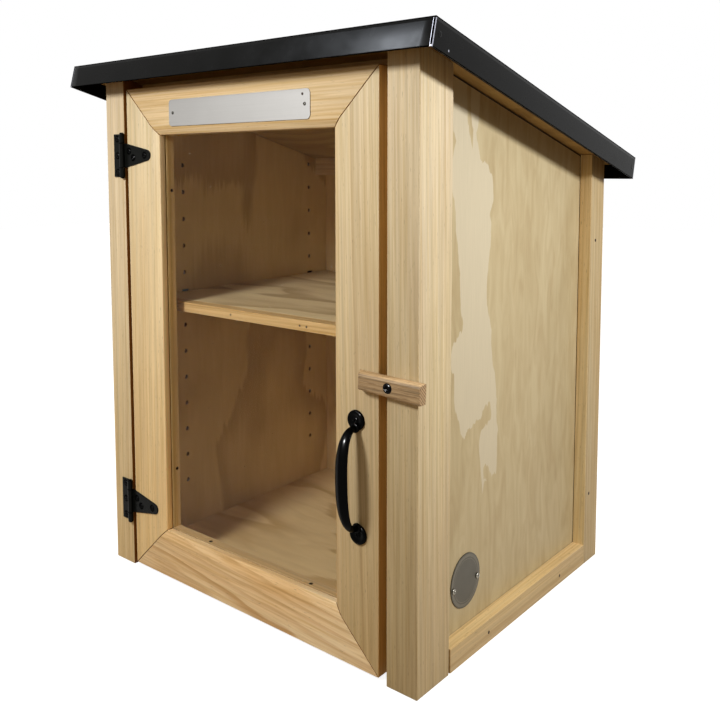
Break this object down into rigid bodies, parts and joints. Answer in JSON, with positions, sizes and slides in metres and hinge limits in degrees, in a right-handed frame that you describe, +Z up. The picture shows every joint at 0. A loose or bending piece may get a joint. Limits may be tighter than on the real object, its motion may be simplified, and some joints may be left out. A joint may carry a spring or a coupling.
{
  "type": "street book exchange box",
  "caption": "Wooden street cabinet for lending books: sloped sheet-metal roof, hinged glazed door with pull and turn latch, and an adjustable shelf inside.",
  "frame": {"origin": "centre of the bounding box's bottom face, on the surface that the box stands on", "axes": "+Z up, -Y out of the door, +X towards the latch side seen from the front"},
  "size_m": [0.564, 0.4896, 0.673],
  "materials": {
    "pine": "bare, planed and lightly oiled, straight grain",
    "plywood": "bare face veneer with flame grain",
    "oak": "bare, slightly weathered",
    "roof_sheet": "satin charcoal paint on folded sheet",
    "black_iron": "satin black enamel",
    "clear_pane": "clear, with a little dust",
    "plate_metal": "brushed along its length, left bare",
    "medallion_metal": "dull, left bare",
    "screw_steel": "bright domed heads"
  },
  "bodies": {
    "box": {"front_left_post": "pine", "front_right_post": "pine", "rear_left_post": "pine", "rear_right_post": "pine", "left_lower_rail": "pine", "right_lower_rail": "pine", "left_side_panel": "plywood", "right_side_panel": "plywood", "back_panel": "plywood", "floor_panel": "plywood", "front_header": "pine", "rear_cleat": "pine", "roof_deck": "plywood", "roof_cap": "roof_sheet", "top_hinge_leaf": "black_iron", "top_hinge_pin": "black_iron", "top_leaf_screw_1": "black_iron", "top_leaf_screw_2": "black_iron", "top_leaf_screw_3": "black_iron", "bottom_hinge_leaf": "black_iron", "bottom_hinge_pin": "black_iron", "bottom_leaf_screw_1": "black_iron", "bottom_leaf_screw_2": "black_iron", "bottom_leaf_screw_3": "black_iron", "latch_screw": "black_iron", "medallion": "medallion_metal", "medallion_screw_1": "screw_steel", "medallion_screw_2": "screw_steel", "shelf_pin_front_left": "black_iron", "shelf_pin_rear_left": "black_iron", "shelf_pin_front_right": "black_iron", "shelf_pin_rear_right": "black_iron"},
    "door": {"door_left_stile": "pine", "door_right_stile": "pine", "door_top_rail": "pine", "door_bottom_rail": "pine", "door_pane": "clear_pane", "bead_left": "pine", "bead_right": "pine", "bead_top": "pine", "bead_bottom": "pine", "top_hinge_strap": "black_iron", "top_strap_screw_1": "black_iron", "top_strap_screw_2": "black_iron", "top_strap_screw_3": "black_iron", "bottom_hinge_strap": "black_iron", "bottom_strap_screw_1": "black_iron", "bottom_strap_screw_2": "black_iron", "bottom_strap_screw_3": "black_iron", "door_pull": "black_iron", "pull_screw_1": "black_iron", "pull_screw_2": "black_iron", "name_plate": "plate_metal", "plate_screw_1": "screw_steel", "plate_screw_2": "screw_steel"},
    "latch": {"turn_latch": "oak"},
    "shelf": {"shelf_board": "plywood", "shelf_lipping": "pine"}
  },
  "joints": [
    {"name": "door_swing", "type": "hinge", "parent": "box", "child": "door", "pos_m": [-0.212, -0.21571, 0.32], "axis": [0, 0, -1], "range_deg": [0, 165]},
    {"name": "latch_turn", "type": "hinge", "parent": "box", "child": "latch", "pos_m": [0.2195, -0.21821, 0.3194], "axis": [0, 1, 0], "continuous": true},
    {"name": "shelf_lift", "type": "slide", "parent": "box", "child": "shelf", "axis": [0, 0, 1], "range_m": [0, 0.05]}
  ]
}
